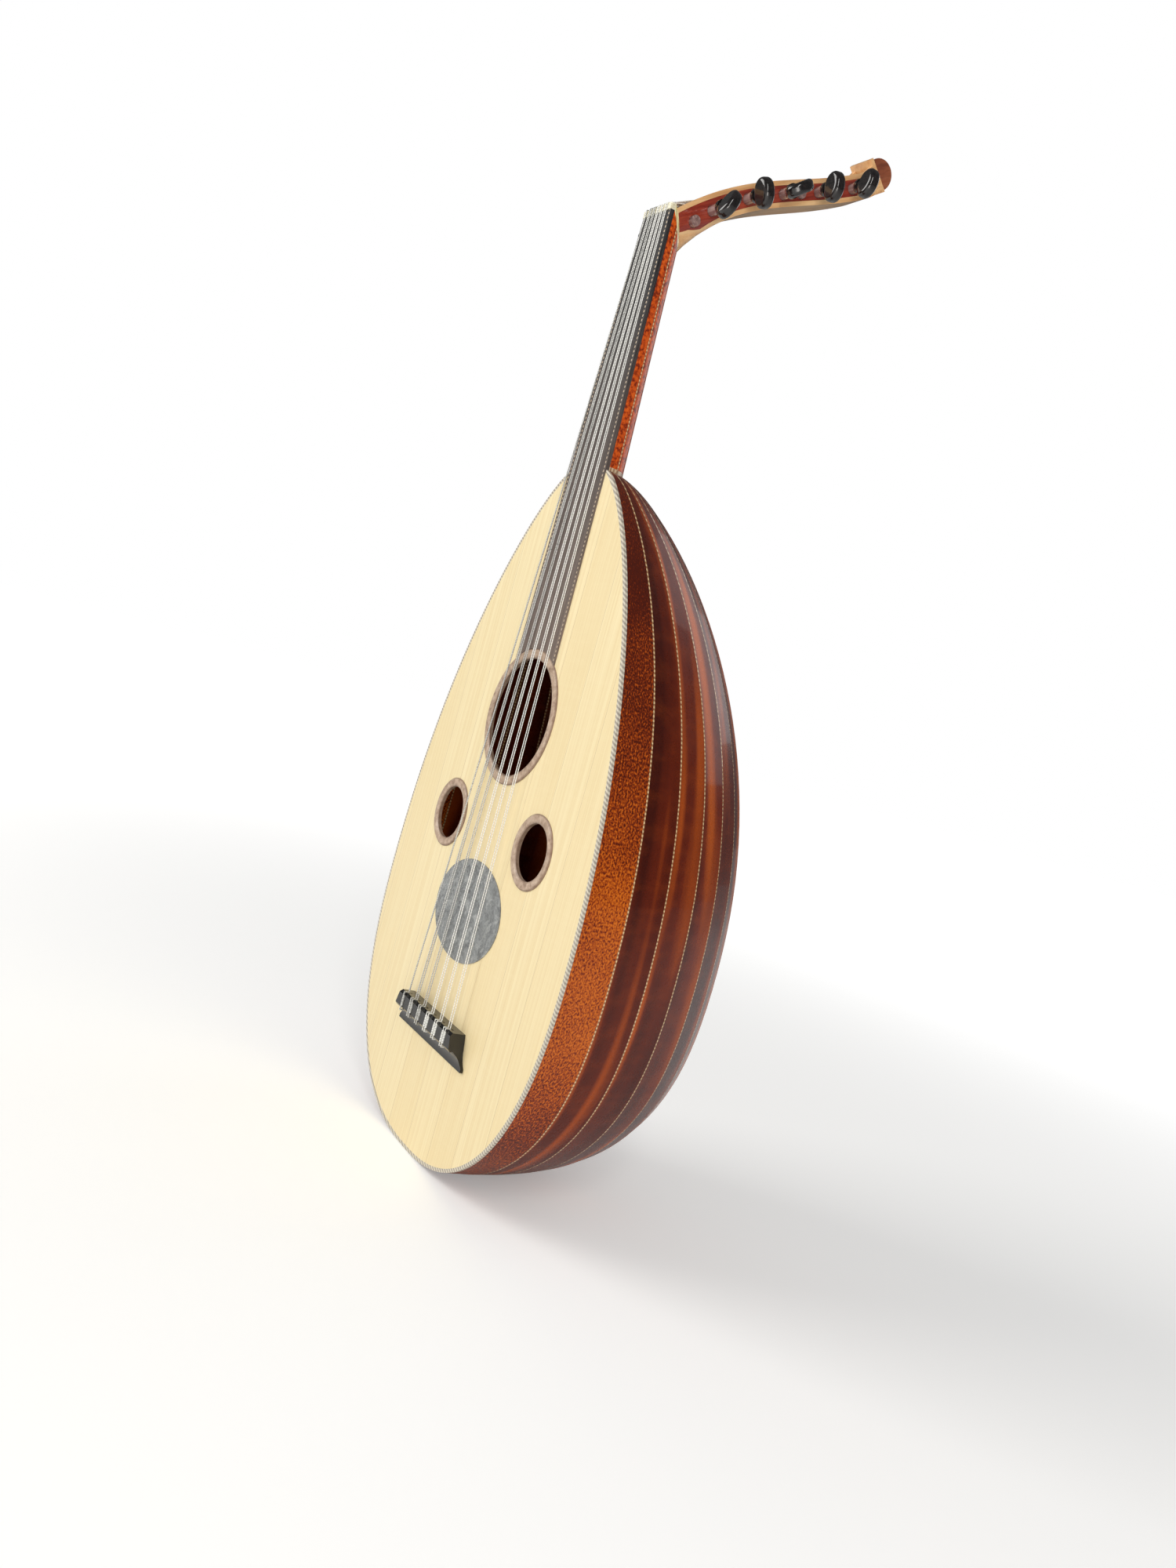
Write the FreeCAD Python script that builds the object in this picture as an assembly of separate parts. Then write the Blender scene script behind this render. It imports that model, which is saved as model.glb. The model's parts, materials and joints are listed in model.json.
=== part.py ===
import FreeCAD, Part
import math
import os

from FreeCAD import Placement, Rotation, Vector

# An oud, standing on its tail. All sizes are in millimetres.
# +Z runs up the strings, the soundboard faces -Y, the bowl is behind it, and +X is the treble side.

# ---- body ----
BODY_LENGTH = 505.0         # tail to neck joint
BODY_WIDTH = 300.0
BOWL_DEPTH = 195.0          # behind the soundboard's back
WIDEST_AT = 182.0           # height of the widest and deepest section
BOARD_THICKNESS = 2.0
BINDING_WIDTH = 2.6
OUTLINE_TAIL_POWER = 2.4    # how square the tail is, seen from the front
BOWL_TAIL_POWER = 3.0       # how square the tail is, seen from the side
SHOULDER_POWER = 0.75       # how full the shoulders are where the body meets the neck

# ---- bowl ----
RIB_COUNT = 19
RIB_THICKNESS = 2.8
STRINGING_WIDTH = 1.2       # light line between two ribs
CLASP_WIDTH = 80.0          # cap over the ribs' tail ends
BLOCK_CLEARANCE = 4.0       # neck block to ribs, which close in steeply there
TAIL_BLOCK_HEIGHT = 18.0
NECK_BLOCK_HEIGHT = 42.0

# ---- openings in the soundboard ----
MAIN_HOLE_Z = 325.0
MAIN_RING_RADIUS = 50.0     # outside of the ring
MAIN_RING_WIDTH = 7.0
SMALL_HOLE_X = 68.0
SMALL_HOLE_Z = 240.0
SMALL_RING_RADIUS = 26.5
SMALL_RING_WIDTH = 6.5
RING_HEIGHT = 1.6           # above the soundboard
RING_LINING = 1.5           # wall of the ring inside the hole
RING_FIT = 0.1
PICKGUARD_Z = 180.0
PICKGUARD_HALF_WIDTH = 52.0
PICKGUARD_HALF_HEIGHT = 37.0
PICKGUARD_THICKNESS = 0.6
BRACE_WIDTH = 6.0
BRACE_HEIGHT = 12.0
BRACE_END_GAP = 10.0        # brace end to the outline, which leaves room for the sloping ribs

# ---- neck ----
NECK_LENGTH = 183.0         # neck joint to the nut's near edge
NECK_WIDTH_JOINT = 52.0
NECK_WIDTH_NUT = 36.0
NECK_DEPTH_JOINT = 22.0
NECK_DEPTH_NUT = 16.5
BAND_THICKNESS = 2.5        # ivory band between body and neck
FINGERBOARD_RISE = 1.0      # above the soundboard's face
TONGUE_WIDTH_END = 60.0     # fingerboard's tongue, at the sound hole
NECK_LINE_WIDTH = 1.3
NECK_LINE_DEPTH = 1.5
NECK_LINE_ANGLES = (20.0, 66.0, 114.0, 160.0)
NUT_THICKNESS = 4.5
NUT_RISE = 2.0              # nut's top above the soundboard's face
COLLAR_THICKNESS = 2.5

# ---- pegbox ----
PEGBOX_TILT = 30.3          # degrees that its axis climbs from +Y
PEGBOX_LENGTH = 181.0
PEGBOX_TIP_DEPTH = 18.0
PEGBOX_TIP_WIDTH = 23.0
TIP_RISE = 7.0              # the front edge sweeps up this much at the tip
TIP_RUN = 16.0              # over this length
TIP_BACK_RISE = 3.0
TIP_LEAN = 15.0             # degrees that the tip's end face leans back
PEGBOX_SWAY = 3.8           # height of the S curve along its front
PEGBOX_ROOT_DIP = 3.0
PEGBOX_ROOT_RUN = 8.0       # power that sets how soon the deep root thins out
HEEL_HEIGHT = 10.0          # solid wood behind the collar, above the back
HEEL_LENGTH = 20.0
CHEEK_THICKNESS = 4.6
CHEEK_RIM = 3.4             # maple edge along the side panel
PANEL_START = 0.6
PANEL_THICKNESS = 1.4
PANEL_FIT = 0.1
BACK_THICKNESS = 3.0
FINIAL_RADIUS = 11.5
COLLAR_SLAB = 2.4           # light slab between the pegbox's tip and the finial
SLAB_LIP = 1.2              # the slab stands this far round the finial
FORM_SPARE = 0.4            # room round the cheeks where only their corners are rounded
ROOT_END = 60.0             # the sides are square from here on

# ---- pegs ----
TREBLE_PEGS = 5
BASS_PEGS = 6
PEG_PITCH = 31.5
FIRST_PEG = 12.5
PEG_RADIUS = 3.8
PEG_CLEARANCE = 0.05
PEG_DEPTH_SHARE = 0.53      # how far back in the pegbox the pegs lie
PEG_END_STANDS_OUT = 1.5
PEG_REACH = 20.0            # cheek to the middle of the head, at the nut
PEG_REACH_STEP = 0.8        # each later peg is this much further in
PEG_HEAD_LENGTH = 16.0
PEG_HEAD_WIDTH = 21.0
PEG_HEAD_THICKNESS = 8.5
PEG_COLLAR_RADIUS = 5.2
TREBLE_PEG_TURNS = (38.0, 80.0, 8.0, 68.0, 55.0)
BASS_PEG_TURNS = (4.0, -12.0, 10.0, -6.0, 14.0, -3.0)

# ---- bridge and strings ----
BRIDGE_FRONT_Z = 103.0      # where the strings leave the bridge
BRIDGE_HALF_LENGTH = 57.0
BRIDGE_BLOCK_HALF = 50.0
BRIDGE_DEPTH = 24.0         # along the strings
BRIDGE_BLOCK_DEPTH = 12.0
BRIDGE_HEIGHT = 12.0
BRIDGE_BASE_HEIGHT = 2.5
STRING_RISE_BRIDGE = 9.0
TIE_HOLE_RISE = 7.0
TIE_HOLE_RADIUS = 0.9
COURSE_SPAN_BRIDGE = 76.0
COURSE_SPAN_NUT = 25.5
PAIR_GAP_BRIDGE = 3.2
PAIR_GAP_NUT = 2.0
STRING_RADII = (0.55, 0.5, 0.44, 0.4, 0.36, 0.32)
STRING_GAP = 0.1            # string to what it runs past
BEND_SWELL = 0.03           # a string is this much fatter at a bend
STRING_FAN = 0.62           # share of its place at the nut that a string keeps in the pegbox
STRING_FAN_RUN = 60.0       # from the collar to where it has closed in that far

# ---- worked out from the above ----
JOINT_HALF = NECK_WIDTH_JOINT / 2
NUT_Z = BODY_LENGTH + NECK_LENGTH
NECK_TOP_Z = NUT_Z + NUT_THICKNESS
BRIDGE_BACK_Z = BRIDGE_FRONT_Z - BRIDGE_DEPTH
TILT = math.radians(PEGBOX_TILT)
PEGBOX_ORIGIN = Vector(0, BOARD_THICKNESS, NECK_TOP_Z)
PEGBOX_PLACE = Placement(PEGBOX_ORIGIN, Rotation(Vector(1, 0, 0), PEGBOX_TILT))
FAR = 400.0                 # larger than any cut it is used for


def save(name, shape):
    shape.exportStep(os.path.join("parts", name + ".step"))
    print(name, "solids", len(shape.Solids), "volume", round(shape.Volume), "valid", shape.isValid())


def mix(a, b, share):
    return a + (b - a) * share


def spline(points):
    curve = Part.BSplineCurve()
    curve.interpolate(points)
    return curve.toShape()


# ---------------------------------------------------------------- body surface

def swell(z, largest, at_joint, tail_power):
    """Half size of the body at height z: a blunt tail, a full middle, and shoulders into the neck."""
    if z <= WIDEST_AT:
        below = 1 - z / WIDEST_AT
        return largest * (1 - below ** tail_power) ** (1 / tail_power)
    above = min(1.0, (z - WIDEST_AT) / (BODY_LENGTH - WIDEST_AT))
    return at_joint + (largest - at_joint) * (1 - above * above) ** SHOULDER_POWER


def half_width(z):
    return swell(z, BODY_WIDTH / 2, JOINT_HALF, OUTLINE_TAIL_POWER)


def bowl_drop(z):
    return swell(z, BOWL_DEPTH, NECK_DEPTH_JOINT, BOWL_TAIL_POWER)


def station_z(a):
    """Height for a place along the body: 0 at the tail, 1 at the widest section, 2 at the neck joint."""
    if a <= 1:
        return WIDEST_AT * (1 - math.cos(a * math.pi / 2) ** (2 / OUTLINE_TAIL_POWER))
    return mix(WIDEST_AT, BODY_LENGTH, math.sin((a - 1) * math.pi / 2))


def bowl_point(angle, a):
    z = station_z(a)
    y = BOARD_THICKNESS + bowl_drop(z) * math.sin(angle)
    return Vector(half_width(z) * math.cos(angle), y, z)


def bowl_normal(angle, a):
    step = 0.0005
    along = bowl_point(angle, a + step) - bowl_point(angle, a - step)
    around = bowl_point(angle + step, a) - bowl_point(angle - step, a)
    return around.cross(along).normalize()


CLASP_STATION = 2 / math.pi * math.asin((CLASP_WIDTH / BODY_WIDTH) ** (OUTLINE_TAIL_POWER / 2))
LOWER = [mix(CLASP_STATION, 1, k / 8) for k in range(9)]
UPPER = [1 + k / 9 for k in range(1, 10)]
STATIONS = LOWER + UPPER


def wall_point(angle, a, depth):
    """A point that lies depth inside the bowl's outer surface."""
    point = bowl_point(angle, a)
    if a == STATIONS[0]:
        return point + Vector(0, 0, depth)
    if a == STATIONS[-1]:
        z = station_z(a)
        flat = Vector(math.cos(angle) / half_width(z), math.sin(angle) / bowl_drop(z), 0).normalize()
        return point - flat * depth
    return point - bowl_normal(angle, a) * depth


def seam_angle(seam, side, a):
    """Angle of a seam between two ribs, moved half a line width to one side."""
    angle = math.pi * seam / RIB_COUNT
    if seam in (0, RIB_COUNT):
        return angle
    z = station_z(a)
    reach = math.hypot(half_width(z) * math.sin(angle), bowl_drop(z) * math.cos(angle))
    return angle + side * STRINGING_WIDTH / 2 / reach


def stave(edge_a, edge_b):
    """A bent strip of the bowl between two edges, each a (seam, side) pair."""
    grid = []
    for seam, side in (edge_a, edge_b):
        for depth in (0, RIB_THICKNESS):
            grid.append([wall_point(seam_angle(seam, side, a), a, depth) for a in STATIONS])
    out_a, in_a, out_b, in_b = [spline(points) for points in grid]
    faces = [Part.makeRuledSurface(out_a, out_b), Part.makeRuledSurface(in_a, in_b)]
    faces += [Part.makeRuledSurface(out_a, in_a), Part.makeRuledSurface(out_b, in_b)]
    for end in (0, -1):
        outer = Part.makeLine(grid[0][end], grid[2][end])
        inner = Part.makeLine(grid[1][end], grid[3][end])
        faces.append(Part.makeRuledSurface(outer, inner))
    shell = Part.makeShell(faces)
    shell.sewShape()
    solid = Part.makeSolid(shell)
    if solid.Volume < 0:
        solid.reverse()
    return solid


def make_bowl():
    for rib in range(RIB_COUNT):
        save("bowl_rib_%02d" % (rib + 1), stave((rib, 1), (rib + 1, -1)))
    lines = [stave((seam, -1), (seam, 1)) for seam in range(1, RIB_COUNT)]
    save("rib_stringing", Part.makeCompound(lines))


def make_end_clasp():
    """Cap that closes the tail where the ribs run together."""
    rim = []
    for seam in range(RIB_COUNT + 1):
        sides = (0,) if seam in (0, RIB_COUNT) else (-1, 1)
        for side in sides:
            rim.append(bowl_point(seam_angle(seam, side, CLASP_STATION), CLASP_STATION))
    rim_z = station_z(CLASP_STATION)
    wires = []
    for share in (0.04, 0.3, 0.55, 0.8, 1.0):
        z = station_z(CLASP_STATION * share)
        across = half_width(z) / half_width(rim_z)
        back = bowl_drop(z) / bowl_drop(rim_z)
        turned = [Vector(p.x * across, BOARD_THICKNESS + (p.y - BOARD_THICKNESS) * back, z) for p in rim]
        wires.append(Part.makePolygon(turned + turned[:1]))
    dome = Part.makeLoft(wires, True, True)
    plate = Part.Face(wires[-1]).extrude(Vector(0, 0, RIB_THICKNESS))
    save("end_clasp", dome.fuse(plate).removeSplitter())


def d_section(z, half, depth):
    """A half round section at height z, flat at the soundboard's back plane."""
    arc = []
    for k in range(13):
        angle = math.pi * k / 12
        arc.append(Vector(half * math.cos(angle), BOARD_THICKNESS + depth * math.sin(angle), z))
    return Part.Wire([spline(arc), Part.makeLine(arc[-1], arc[0])])


def make_blocks():
    inset = RIB_THICKNESS + BLOCK_CLEARANCE
    low = station_z(CLASP_STATION) + RIB_THICKNESS
    tail_width = half_width(low) * 0.62
    tail_depth = bowl_drop(low) * 0.5
    tail = Part.Face(d_section(low, tail_width, tail_depth)).extrude(Vector(0, 0, TAIL_BLOCK_HEIGHT))
    save("tail_block", tail)
    wires = []
    for share in (1.0, 0.93, 0.8, 0.5, 0.0):
        z = BODY_LENGTH - NECK_BLOCK_HEIGHT * (1 - share)
        above = z + inset
        half = min(half_width(above) - inset, 2.2 * JOINT_HALF)
        depth = min(bowl_drop(above) - inset, 2.2 * NECK_DEPTH_JOINT)
        wires.append(d_section(z, half, depth))
    save("neck_block", Part.makeLoft(wires, True, False))


# ---------------------------------------------------------------- soundboard

def outline_point(a, inset):
    side = 1 if a >= 0 else -1
    place = abs(a)
    z = station_z(place)
    if place == 2:
        return Vector(side * (JOINT_HALF - inset), 0, BODY_LENGTH)
    step = 0.0005
    if place == 0:
        return Vector(0, 0, inset)
    low, high = station_z(place - step), station_z(place + step)
    along = Vector(half_width(high) - half_width(low), 0, high - low).normalize()
    return Vector(side * (half_width(z) - along.z * inset), 0, z + along.x * inset)


def board_face(inset):
    places = [-2 + 4 * k / 44 for k in range(45)]
    points = [outline_point(round(a, 6), inset) for a in places]
    return Part.Face(Part.Wire([spline(points), Part.makeLine(points[-1], points[0])]))


def drill(x, z, radius, y=-FAR / 2, length=FAR):
    return Part.makeCylinder(radius, length, Vector(x, y, z), Vector(0, 1, 0))


def hole_list():
    main = (0, MAIN_HOLE_Z, MAIN_RING_RADIUS, MAIN_RING_WIDTH)
    small = [(side * SMALL_HOLE_X, SMALL_HOLE_Z, SMALL_RING_RADIUS, SMALL_RING_WIDTH) for side in (-1, 1)]
    return {"main_hole_ring": main, "small_ring_bass": small[0], "small_ring_treble": small[1]}


def make_soundboard():
    through = Vector(0, BOARD_THICKNESS, 0)
    board = board_face(BINDING_WIDTH).extrude(through)
    binding = board_face(0).extrude(through).cut(board)
    for x, z, radius, width in hole_list().values():
        board = board.cut(drill(x, z, radius - width + RING_LINING + RING_FIT))
    save("soundboard", board)
    save("rope_binding", binding)


def make_rings():
    for name, (x, z, radius, width) in hole_list().items():
        bore = radius - width
        lining = bore + RING_LINING
        profile = [(bore, BOARD_THICKNESS), (bore, -RING_HEIGHT * 0.4), (bore + 1.8, -RING_HEIGHT)]
        profile += [(radius - 1.2, -RING_HEIGHT), (radius, -RING_HEIGHT * 0.4), (radius, 0)]
        profile += [(lining, 0), (lining, BOARD_THICKNESS), (bore, BOARD_THICKNESS)]
        section = Part.Face(Part.makePolygon([Vector(x + r, y, z) for r, y in profile]))
        save(name, section.revolve(Vector(x, 0, z), Vector(0, 1, 0), 360))


def make_pickguard():
    wide = PICKGUARD_HALF_WIDTH >= PICKGUARD_HALF_HEIGHT
    centre = Vector(0, 0, PICKGUARD_Z)
    across = centre + Vector(PICKGUARD_HALF_WIDTH, 0, 0)
    along = centre + Vector(0, 0, PICKGUARD_HALF_HEIGHT)
    oval = Part.Ellipse(across, along, centre) if wide else Part.Ellipse(along, across, centre)
    face = Part.Face(Part.Wire([oval.toShape()]))
    save("pickguard", face.extrude(Vector(0, -PICKGUARD_THICKNESS, 0)))


def brace_heights():
    clear = BRACE_WIDTH / 2 + 1.5
    above_main = MAIN_HOLE_Z + MAIN_RING_RADIUS + clear
    below_main = (MAIN_HOLE_Z - MAIN_RING_RADIUS + SMALL_HOLE_Z + SMALL_RING_RADIUS) / 2
    below_small = SMALL_HOLE_Z - SMALL_RING_RADIUS - clear
    top = mix(above_main, BODY_LENGTH - NECK_BLOCK_HEIGHT, 0.55)
    low = [mix(BRIDGE_BACK_Z, below_small, share) for share in (-0.25, 0.3, 0.65)]
    return low + [below_small, below_main, above_main, top]


def make_braces():
    bars = []
    for z in brace_heights():
        reach = half_width(z) - BRACE_END_GAP
        corner = Vector(-reach, BOARD_THICKNESS, z - BRACE_WIDTH / 2)
        bar = Part.makeBox(2 * reach, BRACE_HEIGHT, BRACE_WIDTH, corner)
        scoop = [e for e in bar.Edges if abs(e.BoundBox.YMin - BOARD_THICKNESS - BRACE_HEIGHT) < 0.01
                 and e.BoundBox.XLength < 0.01]
        bars.append(bar.makeChamfer(BRACE_HEIGHT * 0.6, scoop))
    save("soundboard_braces", Part.makeCompound(bars))


# ---------------------------------------------------------------- neck

def neck_half(z):
    return mix(JOINT_HALF, NECK_WIDTH_NUT / 2, (z - BODY_LENGTH) / NECK_LENGTH)


def neck_depth(z):
    return mix(NECK_DEPTH_JOINT, NECK_DEPTH_NUT, (z - BODY_LENGTH) / NECK_LENGTH)


def neck_bar(z_low, z_high):
    low = d_section(z_low, neck_half(z_low), neck_depth(z_low))
    high = d_section(z_high, neck_half(z_high), neck_depth(z_high))
    return Part.makeLoft([low, high], True, True)


def pegbox_slab(start, end):
    """Everything between two planes square to the pegbox axis."""
    box = Part.makeBox(FAR, end - start, FAR, Vector(-FAR / 2, start, -FAR / 2))
    box.Placement = PEGBOX_PLACE
    return box


def neck_line(angle_deg):
    """A light line let into the neck along its length."""
    ends = []
    for z in (BODY_LENGTH + BAND_THICKNESS, NECK_TOP_Z + 6):
        half, depth = neck_half(z), neck_depth(z)
        angle = math.radians(angle_deg)
        reach = math.hypot(half * math.sin(angle), depth * math.cos(angle))
        quad = []
        for side, sink in ((-1, -1), (1, -1), (1, 1), (-1, 1)):
            turn = angle + side * NECK_LINE_WIDTH / 2 / reach
            rim = Vector(half * math.cos(turn), BOARD_THICKNESS + depth * math.sin(turn), z)
            out = Vector(math.cos(angle) / half, math.sin(angle) / depth, 0).normalize()
            quad.append(rim - out * (NECK_LINE_DEPTH * sink))
        ends.append(Part.makePolygon(quad + quad[:1]))
    return Part.makeLoft(ends, True, True)


def make_neck():
    start = BODY_LENGTH + BAND_THICKNESS
    bar = neck_bar(start, NECK_TOP_Z + 6)
    neck = bar.cut(pegbox_slab(-COLLAR_THICKNESS, FAR))
    lines = [neck_line(angle).common(neck) for angle in NECK_LINE_ANGLES]
    for line in lines:
        neck = neck.cut(line)
    save("neck", neck)
    save("neck_stringing", Part.makeCompound([line.Solids[0] for line in lines]))
    save("pegbox_collar", bar.common(pegbox_slab(-COLLAR_THICKNESS, 0)))
    save("neck_joint_band", neck_bar(BODY_LENGTH, start))


def plank(outline, y_front, y_back):
    """A flat piece with its outline given as (x, z) pairs."""
    points = [Vector(x, y_front, z) for x, z in outline]
    return Part.Face(Part.makePolygon(points + points[:1])).extrude(Vector(0, y_back - y_front, 0))


def make_fingerboard():
    wide, narrow = JOINT_HALF, NECK_WIDTH_NUT / 2
    upper = [(-wide, BODY_LENGTH), (wide, BODY_LENGTH), (narrow, NUT_Z), (-narrow, NUT_Z)]
    board = plank(upper, -FINGERBOARD_RISE, BOARD_THICKNESS)
    end = TONGUE_WIDTH_END / 2
    lower = [(-end, MAIN_HOLE_Z), (end, MAIN_HOLE_Z), (wide, BODY_LENGTH), (-wide, BODY_LENGTH)]
    tongue = plank(lower, -FINGERBOARD_RISE, 0)
    tongue = tongue.cut(drill(0, MAIN_HOLE_Z, MAIN_RING_RADIUS + RING_FIT))
    below = Part.makeBox(FAR, FAR, FAR, Vector(-FAR / 2, -FAR / 2, MAIN_HOLE_Z - FAR))
    save("fingerboard", board.fuse(tongue.cut(below)).removeSplitter())


def make_nut():
    half = NECK_WIDTH_NUT / 2
    nut = plank([(-half, NUT_Z), (half, NUT_Z), (half, NECK_TOP_Z), (-half, NECK_TOP_Z)],
                -NUT_RISE, BOARD_THICKNESS)
    ends = [e for e in nut.Edges if e.BoundBox.YMax < -NUT_RISE + 0.01 and e.BoundBox.XLength < 0.01]
    save("nut", nut.makeFillet(1.2, ends))


# ---------------------------------------------------------------- pegbox

def tip_share(s):
    """How far s has come along the swept up tip, from 0 to 1 at its end."""
    return max(0.0, (s - PEGBOX_LENGTH + TIP_RUN) / TIP_RUN)


def plain_front(s):
    """Height of the cheek's front edge above the pegbox axis, at s along it, without the swept up tip."""
    share = s / PEGBOX_LENGTH
    wave = PEGBOX_SWAY * math.sin(2 * math.pi * share / 1.2)
    return wave - PEGBOX_ROOT_DIP * max(0.0, 1 - share) ** PEGBOX_ROOT_RUN


def front_edge(s):
    return plain_front(s) + TIP_RISE * tip_share(s) ** 2


ROOT_DEPTH = neck_depth(NUT_Z) / math.sin(TILT)


def plain_back(s):
    share = max(0.0, 1 - s / PEGBOX_LENGTH)
    root = ROOT_DEPTH - PEGBOX_ROOT_DIP
    return plain_front(s) - mix(PEGBOX_TIP_DEPTH, root, share ** PEGBOX_ROOT_RUN)


def back_edge(s):
    return plain_back(s) + TIP_BACK_RISE * tip_share(s) ** 2


def side_half(s):
    """Half width of the pegbox over its cheeks."""
    return mix(NECK_WIDTH_NUT / 2, PEGBOX_TIP_WIDTH / 2, s / PEGBOX_LENGTH)


FINIAL_T = (front_edge(PEGBOX_LENGTH) + back_edge(PEGBOX_LENGTH)) / 2


def side_face(front_inset, back_inset, start, end):
    """Side view of the pegbox, between its front and back edges."""
    places = [mix(start, end, k / 28) for k in range(29)]
    front = [Vector(0, s, front_edge(s) - front_inset) for s in places]
    back = [Vector(0, s, back_edge(s) + back_inset) for s in places]
    edges = [spline(front), Part.makeLine(front[-1], back[-1])]
    edges += [spline(list(reversed(back))), Part.makeLine(back[0], front[0])]
    return Part.Face(Part.Wire(edges))


def between(outer_inset, inner_inset, side):
    """The space between two depths inside the pegbox's tapering side, as a wedge along its length."""
    reach = PEGBOX_LENGTH + 2 * FINIAL_RADIUS
    plan = []
    for s, inset in ((0, outer_inset), (reach, outer_inset), (reach, inner_inset), (0, inner_inset)):
        plan.append(Vector(side * (side_half(s) - inset), s, -FAR / 2))
    return Part.Face(Part.makePolygon(plan + plan[:1])).extrude(Vector(0, 0, FAR))


def root_form(inset=0.0):
    """The pegbox's outer form by its root: half round where it meets the neck, square sided further up."""
    wires = []
    for s, power in ((0, 2.0), (8, 2.6), (18, 4.0), (32, 8.0), (ROOT_END, 24.0)):
        spare = FORM_SPARE if s and not inset else 0.0
        top = PEGBOX_SWAY * 2 if s else 0.0
        depth = top - back_edge(s) + spare if s else ROOT_DEPTH
        arc = []
        for k in range(25):
            turn = math.pi * k / 24
            across = math.copysign(abs(math.cos(turn)) ** (2 / power), math.cos(turn))
            down = max(0.0, math.sin(turn)) ** (2 / power)
            arc.append(Vector(across * (side_half(s) + spare - inset), s, top - depth * down))
        wires.append(Part.makePolygon(arc + arc[:1]))
    return Part.makeLoft(wires, True, True)


def past_root():
    return Part.makeBox(FAR, FAR, FAR, Vector(-FAR / 2, ROOT_END, -FAR / 2))


def rounded(solid):
    """A solid with the root's rounding cut into it."""
    return solid.common(root_form()).fuse(solid.common(past_root()))


def skin(solid, side, depth):
    """What a solid has in the outermost part of the pegbox's side wall, down to a depth."""
    near = solid.common(between(-1, CHEEK_THICKNESS - depth, side)).cut(root_form(depth)).cut(past_root())
    return near.fuse(solid.common(between(-1, depth, side)).common(past_root()))


def peg_places(count, offset):
    return [FIRST_PEG + PEG_PITCH * (k + offset) for k in range(count)]


def peg_height(s):
    return mix(plain_front(s), plain_back(s), PEG_DEPTH_SHARE)


def all_pegs():
    """Every peg as (name, side, s, t, number)."""
    rows = []
    for k, s in enumerate(peg_places(BASS_PEGS, 0.0)):
        rows.append(("peg_bass_%d" % (k + 1), -1, s, peg_height(s), k))
    for k, s in enumerate(peg_places(TREBLE_PEGS, 0.5)):
        rows.append(("peg_treble_%d" % (k + 1), 1, s, peg_height(s), k))
    return rows


def rod(x0, x1, s, t, radius):
    return Part.makeCylinder(radius, x1 - x0, Vector(x0, s, t), Vector(1, 0, 0))


def peg_drills(radius):
    return Part.makeCompound([rod(-FAR / 2, FAR / 2, s, t, radius) for _, _, s, t, _ in all_pegs()])


def tip_slab(start, end):
    """All that lies between two distances past the tip's leaning end face."""
    block = Part.makeBox(FAR, end - start, FAR, Vector(-FAR / 2, start, -FAR / 2))
    block.rotate(Vector(0, 0, 0), Vector(1, 0, 0), TIP_LEAN)
    return block.translated(Vector(0, PEGBOX_LENGTH, FINIAL_T))


def finial_cylinder(radius):
    half = side_half(PEGBOX_LENGTH)
    return rod(-half, half, PEGBOX_LENGTH, FINIAL_T, radius)


def largest(shape):
    return sorted(shape.Solids, key=lambda solid: solid.Volume)[-1]


def heel(s):
    """Extra height of the solid wood where the pegbox meets its collar."""
    return HEEL_HEIGHT * max(0.0, 1 - s / HEEL_LENGTH) ** 1.5


def save_local(name, shape):
    placed = shape.copy()
    placed.Placement = PEGBOX_PLACE.multiply(shape.Placement)
    save(name, placed)


def make_pegbox():
    reach = Vector(FAR, 0, 0)
    start = Vector(-FAR / 2, 0, 0)
    end = PEGBOX_LENGTH + 4
    whole = side_face(0, 0, 0, end).extrude(reach).translated(start)
    rim = CHEEK_RIM
    last = PEGBOX_LENGTH - TIP_RUN / 2
    middle = side_face(rim, rim, PANEL_START, last).extrude(reach).translated(start)
    rim = CHEEK_RIM - PANEL_FIT
    pocket = side_face(rim, rim, PANEL_START - PANEL_FIT, last + PANEL_FIT).extrude(reach).translated(start)
    tip = tip_slab(-COLLAR_SLAB, FAR / 4)
    holes = peg_drills(PEG_RADIUS + PEG_CLEARANCE)
    wide_holes = peg_drills(PEG_RADIUS + 4 * PEG_CLEARANCE)
    panels = []
    for side, name in ((-1, "pegbox_cheek_bass"), (1, "pegbox_cheek_treble")):
        cheek = rounded(whole.common(between(0, CHEEK_THICKNESS, side)))
        cheek = cheek.cut(skin(pocket, side, PANEL_THICKNESS)).cut(tip).cut(holes)
        save_local(name, largest(cheek))
        plain = middle.common(between(0, CHEEK_THICKNESS, side))
        panel = rounded(skin(plain, side, PANEL_THICKNESS))
        panels.append(largest(panel.cut(wide_holes)))
    save_local("pegbox_side_panels", Part.makeCompound(panels))
    places = [mix(0, end, k / 28) for k in range(29)]
    low = [Vector(0, s, back_edge(s)) for s in places]
    high = [Vector(0, s, back_edge(s) + BACK_THICKNESS + heel(s)) for s in places]
    edges = [spline(low), Part.makeLine(low[-1], high[-1]), spline(list(reversed(high))),
             Part.makeLine(high[0], low[0])]
    strip = Part.Face(Part.Wire(edges)).extrude(reach).translated(start)
    for side in (-1, 1):
        strip = strip.cut(between(-FAR, CHEEK_THICKNESS, side))
    save_local("pegbox_back", largest(rounded(strip).cut(tip)))


def make_finial():
    disc = finial_cylinder(FINIAL_RADIUS).common(tip_slab(0, FAR / 4))
    save_local("finial", disc)
    slab = finial_cylinder(FINIAL_RADIUS + SLAB_LIP).common(tip_slab(-COLLAR_SLAB, 0))
    save_local("finial_collar", slab)


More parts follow.
